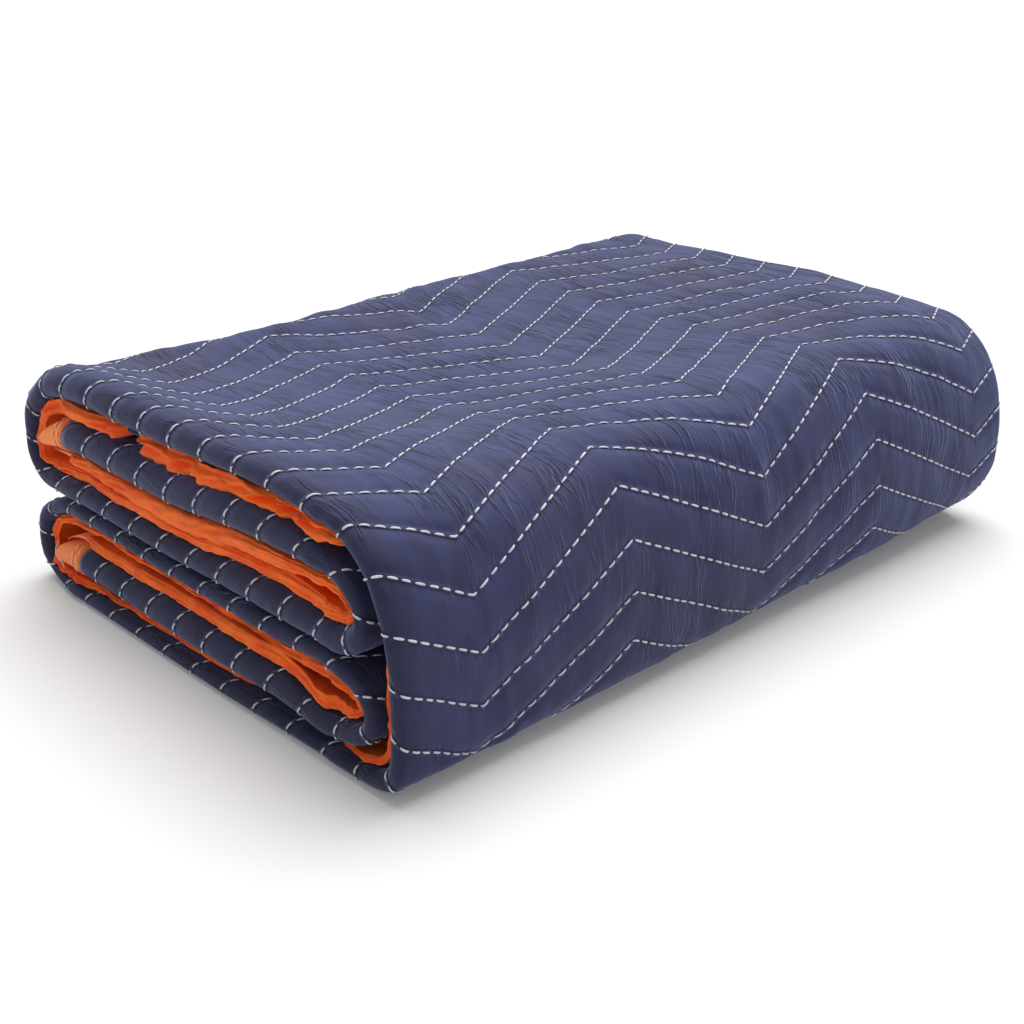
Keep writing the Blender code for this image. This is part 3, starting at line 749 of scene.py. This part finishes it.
def row_places():
    """Run lengths of the mesh rows: eighths of the pitch where the face shows, quarters elsewhere."""
    clear = 0.0005
    first, last = TAPE_WIDTH + clear, TOTAL - TAPE_WIDTH - clear
    step = QUILT_PITCH / 8
    margin = 0.3  # Of a step, so that no row comes too close to the first or the last.
    k = np.arange(math.ceil((first - PHASE) / step + margin), math.floor((last - PHASE) / step - margin) + 1)
    places = PHASE + k * step
    kept = places[on_the_top(places) | (k % 2 == 0)]
    return np.concatenate([[first], kept, [last]])


def build_panel(material):
    """The cloth, with mesh columns that meet the quilting's corner rows."""
    between_corners = 36
    columns = FIRST_CORNER_ROW + QUILT_HALF_PERIOD / between_corners * np.arange(-9, 160)
    columns = columns[(columns > 0.020) & (columns < 0.478)]
    points, coordinates = outline_rows(row_places(), list(columns))
    return swept("blanket_panel", points, material, coordinates)


def run_at(layer, x):
    """Run length at a place along one layer, or at a share of the way round a turn."""
    here = np.flatnonzero(PART == layer)
    if layer % 1:
        return float(RUN[here[0]] + (RUN[here[-1]] - RUN[here[0]]) * x)
    here = here[np.argsort(OUTER[here, 0])]
    return float(np.interp(x, OUTER[here, 0], RUN[here]))


def lip_rows(s):
    """The tape over the third ply's edge: a rounded, puckered lip at the near end."""
    d = depths_at(s)
    top, under = d[3], d[4]
    middle, half = (top + under) / 2, (under - top) / 2
    places = [run_at(row[0], row[1]) for row in LIPS]
    size, inward, forward, crumple = (np.interp(s, places, column) for column in list(zip(*LIPS))[2:])
    still = s * 0
    push = crumple * (0.0015 * noise(s / 0.017, still, 11) + 0.0008 * noise(s / 0.006, still, 12)) - forward
    fat = size * (1.0 + 0.05 * crumple * noise(s / 0.012, still, 13))
    points, marks = [], []
    # Flat against one face of the ply, round the edge from -90 to 90 degrees, flat against the other face.
    flat = ((TAPE_SEAT, 1.0), (0.022, 1.0), (0.014, 1.0))
    profile = [(y, -a) for y, a in flat] + [(None, a) for a in np.linspace(-90, 90, 21)]
    profile += [(y, a) for y, a in reversed(flat)]
    step = 0.0022
    across = 0.0
    for y, a in profile:
        if y is None:
            turn = math.radians(a)
            angle = still + a / 60.0
            ridge = 0.0012 * (0.35 - np.abs(noise(s / 0.060, angle * 2.2, 14)))
            fold = 0.0046 * crumple * (0.30 - np.abs(noise(s / 0.018 + angle * 0.8, angle * 1.1, 16)))
            fold *= min(max((50.0 - a) / 60.0, 0.0), 1.0)
            fine = 0.0003 * noise(s / 0.004, angle, 17)
            bulge = half * 0.9 + ridge + fold * np.cos(turn) + fine
            ys = LIP_REACH + half * 0.9 + push - bulge * math.cos(turn)
            depth = middle + inward + (half + ridge + fine) * fat * 0.98 * math.sin(turn)
        else:
            wavy = 0.0004 * noise(s / 0.010, still + y / 0.01, 15)
            ys = np.full_like(s, y)
            depth = middle + (half + wavy) * a
        points.append(place(s, ys, depth))
        marks.append(still + across)
        across += step
    inside, share = 0.016, 0.72  # The tape's own inner face.
    for y, a in ((TAPE_SEAT, share), (inside, share), (inside, -share), (TAPE_SEAT, -share)):
        points.append(place(s, np.full_like(s, y), middle + half * a))
        marks.append(still + across)
    runs = np.broadcast_to(s[:, None], (len(s), len(marks)))
    return np.stack(points, 1), np.stack([runs, np.stack(marks, 1)], -1)


def between_end_tapes(step):
    """Run lengths from one end tape to the other."""
    return np.arange(TAPE_WIDTH + 0.001, TOTAL - TAPE_WIDTH - 0.001, step)


def build_lips(material):
    """The tape along the near edge."""
    points, coordinates = lip_rows(between_end_tapes(0.0018))
    return swept("near_edge_tape", points, material, coordinates)


def build_hem(material):
    """The tape on the other long edge, which lies inside the far fold."""
    s = between_end_tapes(0.0055)
    d = depths_at(s)
    hem = STRIP_WIDTH - d[4] / 2 - HEM_TAPE_BACK
    wall = 0.0008
    profile = ((-TAPE_WIDTH, d[1]), (0.0, d[1]), (0.0, d[2]), (-TAPE_WIDTH, d[2]),
               (-TAPE_WIDTH, d[2] - wall), (-wall, d[2] - wall),
               (-wall, d[1] + wall), (-TAPE_WIDTH, d[1] + wall))
    points = np.stack([place(s, hem + y, depth) for y, depth in profile], 1)
    marks = np.broadcast_to(np.arange(len(profile)) * 0.01, points.shape[:2])
    coordinates = np.stack([np.broadcast_to(s[:, None], marks.shape), marks], -1)
    return swept("inner_edge_tape", points, material, coordinates)


def build_end_tape(name, tip, sign, material):
    """The tape over a short edge: a folded sock round the three plies."""
    steps = np.array([0.0, 0.0008, 0.0022, 0.005, 0.009, 0.014, 0.019, 0.024, TAPE_WIDTH - 0.001])
    points, coordinates = outline_rows(tip + sign * steps, list(np.linspace(0.024, 0.470, 60)), slanted=False)
    # The sock is thinner towards its closed end.
    middle = points.mean(axis=1, keepdims=True)
    pinch = np.array([0.30, 0.14, 0.05, 0.01, 0, 0, 0, 0, 0])[:, None, None]
    points[:, :, 2:] += (middle[:, :, 2:] - points[:, :, 2:]) * pinch
    if sign > 0:
        points, coordinates = points[::-1], coordinates[::-1]
    return swept(name, points, material, coordinates)


navy = navy_material()
orange = tape_material("orange_tape", light=(0.95, 0.165, 0.014, 1), dark=(0.86, 0.095, 0.008, 1),
                       ribs=900.0, puckers=1.0)
pale_orange = tape_material("pale_orange_tape", light=(0.90, 0.27, 0.085, 1), dark=(0.86, 0.22, 0.060, 1),
                            ribs=900.0, puckers=0.35)
thread = thread_material("grey_thread", dark=(0.42, 0.43, 0.47, 1), light=(0.68, 0.69, 0.72, 1))
pale_thread = thread_material("pale_orange_thread", dark=(0.86, 0.40, 0.17, 1), light=(0.92, 0.52, 0.28, 1))

panel = build_panel(navy)
lips = build_lips(orange)
hem = build_hem(orange)
upper_tape = build_end_tape("upper_end_tape", tip=0.0, sign=1.0, material=pale_orange)
lower_tape = build_end_tape("lower_end_tape", tip=TOTAL, sign=-1.0, material=pale_orange)

# Quilting lines run over the whole width where the cloth shows, and elsewhere over the two long folds.
WHOLE_WIDTH = ((-0.022, 0.512),)
LONG_FOLDS = ((-0.022, 0.040), (0.450, 0.512))
lines = []
first = int(math.floor(-PHASE / QUILT_PITCH)) - 2
last = int(math.ceil((TOTAL - PHASE) / QUILT_PITCH)) + 2
for k in range(first, last + 1):
    part = float(np.interp(PHASE + k * QUILT_PITCH, RUN, PART))
    shown = any(low < part < high for low, high in (TOP_PARTS, LOWER_ROLL_PARTS))
    for v_from, v_to in (WHOLE_WIDTH if shown else LONG_FOLDS):
        line = quilting_line(k, v_from, v_to)
        if line is not None:
            lines.append(line)
verts, faces = dashes(lines, width=0.0012, height=0.0008, dash=0.0050, gap=0.0024, seed=3)
more_verts, more_faces = hanging_thread(len(verts))
stitching = threads("quilting_thread", verts + more_verts, faces + more_faces, thread)
verts, faces = dashes(tape_lines(), width=0.0013, height=0.0007, dash=0.0042, gap=0.0016, seed=5)
tape_stitching = threads("tape_thread", verts, faces, pale_thread)

for piece, node in ((panel, "quilted_panel"), (lips, "near_edge_binding"), (hem, "inner_edge_binding"),
                    (upper_tape, "upper_end_binding"), (lower_tape, "lower_end_binding")):
    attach(piece, "root")
    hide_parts(node)
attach(stitching, "root")
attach(tape_stitching, "root")

# The floor lies just under the blanket.
FLOOR_REACH, FLOOR_Z = 30, -0.0005
corner_signs = ((-1, -1), (1, -1), (1, 1), (-1, 1))
floor_corners = [(x * FLOOR_REACH, y * FLOOR_REACH, FLOOR_Z) for x, y in corner_signs]
floor = add_piece("floor", floor_corners, [(0, 1, 2, 3)], floor_material())

# Soft light from all round, and a broad soft light from above.
world = bpy.data.worlds.new("soft_room")
bpy.context.scene.world = world
world.use_nodes = True
background = world.node_tree.nodes["Background"]
background.inputs["Color"].default_value = (1, 1, 1, 1)
background.inputs["Strength"].default_value = 0.52
soft_sun = bpy.data.lights.new("top_light", "SUN")
soft_sun.energy = 3.9
soft_sun.angle = math.radians(55)
top_light = bpy.data.objects.new("top_light", soft_sun)
top_light.rotation_euler = Vector((-0.30, 0.50, 1.5)).to_track_quat("Z", "Y").to_euler()
bpy.context.collection.objects.link(top_light)

# The photo's viewpoint, in degrees, metres and millimetres.
YAW, PITCH = math.radians(47.63), math.radians(23.53)
camera = bpy.data.objects.new("camera", bpy.data.cameras.new("camera"))
camera.data.lens = 52.57
camera.data.sensor_width = 36.0
camera.data.shift_x = 0.0319
camera.data.shift_y = 0.0060
camera.data.dof.use_dof = False
camera.data.clip_start = 0.01
camera.location = (0.6074, -0.6015, 0.3885)
gaze = Vector((-math.sin(YAW) * math.cos(PITCH), math.cos(YAW) * math.cos(PITCH), -math.sin(PITCH)))
right = Vector((math.cos(YAW), math.sin(YAW), 0))
camera.rotation_euler = Matrix((right, right.cross(gaze), -gaze)).transposed().to_euler()
bpy.context.collection.objects.link(camera)
bpy.context.scene.camera = camera
bpy.context.scene.view_settings.view_transform = "Standard"
